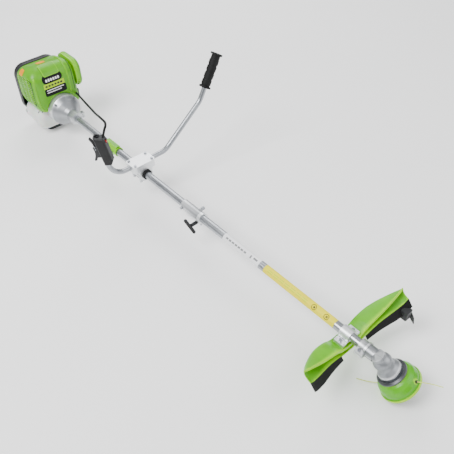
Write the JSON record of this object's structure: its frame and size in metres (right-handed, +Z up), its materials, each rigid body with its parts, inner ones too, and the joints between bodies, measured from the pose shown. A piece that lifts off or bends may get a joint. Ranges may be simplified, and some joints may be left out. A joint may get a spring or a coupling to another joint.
{
  "type": "string trimmer",
  "caption": "Petrol string trimmer with a split shaft, asymmetric handlebar, saddle-shaped guard and bump-feed line head, lying at rest on its engine stand.",
  "frame": {"origin": "On the floor under the middle of the engine stand, below the shaft's axis.", "axes": "+X along the shaft from the engine to the cutting head, +Y to the operator's left, +Z up."},
  "size_m": [1.9021, 0.5799, 0.4158],
  "materials": {
    "lime_cover": "gloss",
    "lime_guard": "satin",
    "lime_head": "gloss",
    "cast_alloy": "satin",
    "bright_tube": "satin",
    "dark_plastic": "matte",
    "black_rubber": "matte",
    "tank_plastic": "gloss",
    "steel": "satin",
    "black_steel": "satin",
    "red_plastic": "gloss",
    "nylon_line": "gloss",
    "filter_and_black": "matte",
    "rope": "woven",
    "ceramic": "gloss"
  },
  "bodies": {
    "engine_unit": {"crankcase": "cast_alloy", "cylinder": "cast_alloy", "spark_plug": "ceramic", "muffler": "black_steel", "carburettor": "cast_alloy", "air_filter_box": "filter_and_black", "air_filter_cover": "lime_cover", "engine_shroud": "lime_cover", "starter_housing": "dark_plastic", "fuel_tank": "tank_plastic", "engine_stand": "dark_plastic", "clutch_housing": "cast_alloy", "upper_tube": "bright_tube", "upper_bearings": "steel", "upper_bolts": "steel", "coupler_sleeve": "cast_alloy", "handlebar": "bright_tube", "left_grip": "black_rubber", "bar_bracket": "cast_alloy", "bar_bracket_cap": "cast_alloy", "tube_rubbers": "black_rubber", "throttle_handle_right": "dark_plastic", "throttle_handle_left": "dark_plastic", "throttle_cable": "black_rubber", "harness_clip": "lime_guard", "starter_rope": "rope"},
    "crank": {"crankshaft": "steel", "flywheel_fan": "cast_alloy", "clutch_shoes": "steel"},
    "piston": {"piston": "cast_alloy"},
    "rod": {"connecting_rod": "steel"},
    "clutch_output": {"clutch_drum": "steel", "upper_drive_shaft": "steel"},
    "lower_unit": {"lower_tube": "bright_tube", "guard": "lime_guard", "guard_skirts": "black_rubber", "guard_bracket": "cast_alloy", "line_cutter": "black_steel", "lower_bolts": "steel", "lower_bearings": "steel", "gear_case": "cast_alloy"},
    "lower_drive": {"lower_drive_shaft": "steel"},
    "cutting_head": {"output_spindle": "steel", "head_collar": "black_steel", "head_housing": "lime_head", "head_cover": "dark_plastic", "cutting_lines": "nylon_line", "bevel_gear": "steel"},
    "bump_feed": {"line_spool": "nylon_line", "bump_knob": "dark_plastic"},
    "trigger": {"throttle_trigger": "dark_plastic"},
    "lockout": {"lockout_lever": "dark_plastic"},
    "switch": {"stop_switch": "red_plastic"},
    "choke": {"choke_lever": "dark_plastic"},
    "primer": {"primer_bulb": "black_rubber"},
    "tank_cap": {"fuel_cap": "dark_plastic"},
    "coupler_screw": {"coupler_knob": "dark_plastic"},
    "coupler_pin": {"lock_pin": "steel"},
    "pull_handle": {"starter_handle": "dark_plastic"},
    "pulley": {"starter_pulley": "dark_plastic"}
  },
  "joints": [
    {"name": "crank_spin", "type": "hinge", "parent": "engine_unit", "child": "crank", "pos_m": [0.033, 0, 0.10919], "axis": [1, 0, 0], "continuous": true},
    {"name": "piston_slide", "type": "slide", "parent": "engine_unit", "child": "piston", "axis": [0, 0, 1], "range_m": [-0.034, 0]},
    {"name": "rod_swing", "type": "hinge", "parent": "piston", "child": "rod", "pos_m": [0.033, 0, 0.18618], "axis": [1, 0, 0], "range_deg": [-15, 15]},
    {"name": "head_spin", "type": "hinge", "parent": "lower_unit", "child": "cutting_head", "pos_m": [1.666, 0, 0.10919], "axis": [-0.5446, -0.3142, 0.7776], "continuous": true},
    {"name": "lower_drive_spin", "type": "hinge", "parent": "lower_unit", "child": "lower_drive", "pos_m": [1.606, 0, 0.10919], "axis": [1, 0, 0], "continuous": true},
    {"name": "clutch_output_spin", "type": "hinge", "parent": "engine_unit", "child": "clutch_output", "pos_m": [0.205, 0, 0.10919], "axis": [1, 0, 0], "continuous": true},
    {"name": "shaft_pull", "type": "slide", "parent": "engine_unit", "child": "lower_unit", "axis": [1, 0, 0], "range_m": [0, 0.06]},
    {"name": "bump_push", "type": "slide", "parent": "cutting_head", "child": "bump_feed", "axis": [-0.5446, -0.3142, 0.7776], "range_m": [0, 0.005], "stiffness_N_per_m": 2500, "springref_m": -0.004},
    {"name": "throttle_squeeze", "type": "hinge", "parent": "engine_unit", "child": "trigger", "pos_m": [0.61144, -0.13981, 0.26107], "axis": [0.7063, -0.7063, -0.0486], "range_deg": [0, 14], "stiffness_Nm_per_rad": 0.3, "springref_deg": -11.46},
    {"name": "lockout_press", "type": "hinge", "parent": "engine_unit", "child": "lockout", "pos_m": [0.61072, -0.14114, 0.26994], "axis": [-0.7063, 0.7063, 0.0486], "range_deg": [0, 12], "stiffness_Nm_per_rad": 0.15, "springref_deg": -11.46},
    {"name": "stop_slide", "type": "slide", "parent": "engine_unit", "child": "switch", "axis": [-0.0801, -0.1479, 0.9858], "range_m": [0, 0.004]},
    {"name": "choke_turn", "type": "hinge", "parent": "engine_unit", "child": "choke", "pos_m": [0.077, 0.084, 0.14719], "axis": [0, 1, 0], "range_deg": [0, 60]},
    {"name": "primer_push", "type": "slide", "parent": "engine_unit", "child": "primer", "axis": [0, -1, 0], "range_m": [0, 0.003], "stiffness_N_per_m": 800, "springref_m": -0.001},
    {"name": "fuel_cap_turn", "type": "hinge", "parent": "engine_unit", "child": "tank_cap", "pos_m": [-0.079, 0.05, 0.04259], "axis": [-1, 0, 0], "range_deg": [0, 360]},
    {"name": "coupler_knob_turn", "type": "hinge", "parent": "engine_unit", "child": "coupler_screw", "pos_m": [0.946, -0.03, 0.08818], "axis": [0, -1, 0], "range_deg": [0, 720]},
    {"name": "lock_pin_pull", "type": "slide", "parent": "engine_unit", "child": "coupler_pin", "axis": [0, 1, 0], "range_m": [0, 0.005], "stiffness_N_per_m": 1500, "springref_m": -0.003},
    {"name": "starter_pull", "type": "slide", "parent": "engine_unit", "child": "pull_handle", "axis": [0, 1, 0], "range_m": [0, 0.6]},
    {"name": "pulley_spin", "type": "hinge", "parent": "engine_unit", "child": "pulley", "pos_m": [-0.063, 0, 0.10919], "axis": [-1, 0, 0], "range_deg": [0, 1207]}
  ],
  "couplings": [
    {"joint": "lower_drive_spin", "follows": "head_spin", "ratio": 1.75},
    {"joint": "clutch_output_spin", "follows": "head_spin", "ratio": 1.75},
    {"joint": "pulley_spin", "follows": "starter_pull", "rad_per_m": 34.965}
  ]
}
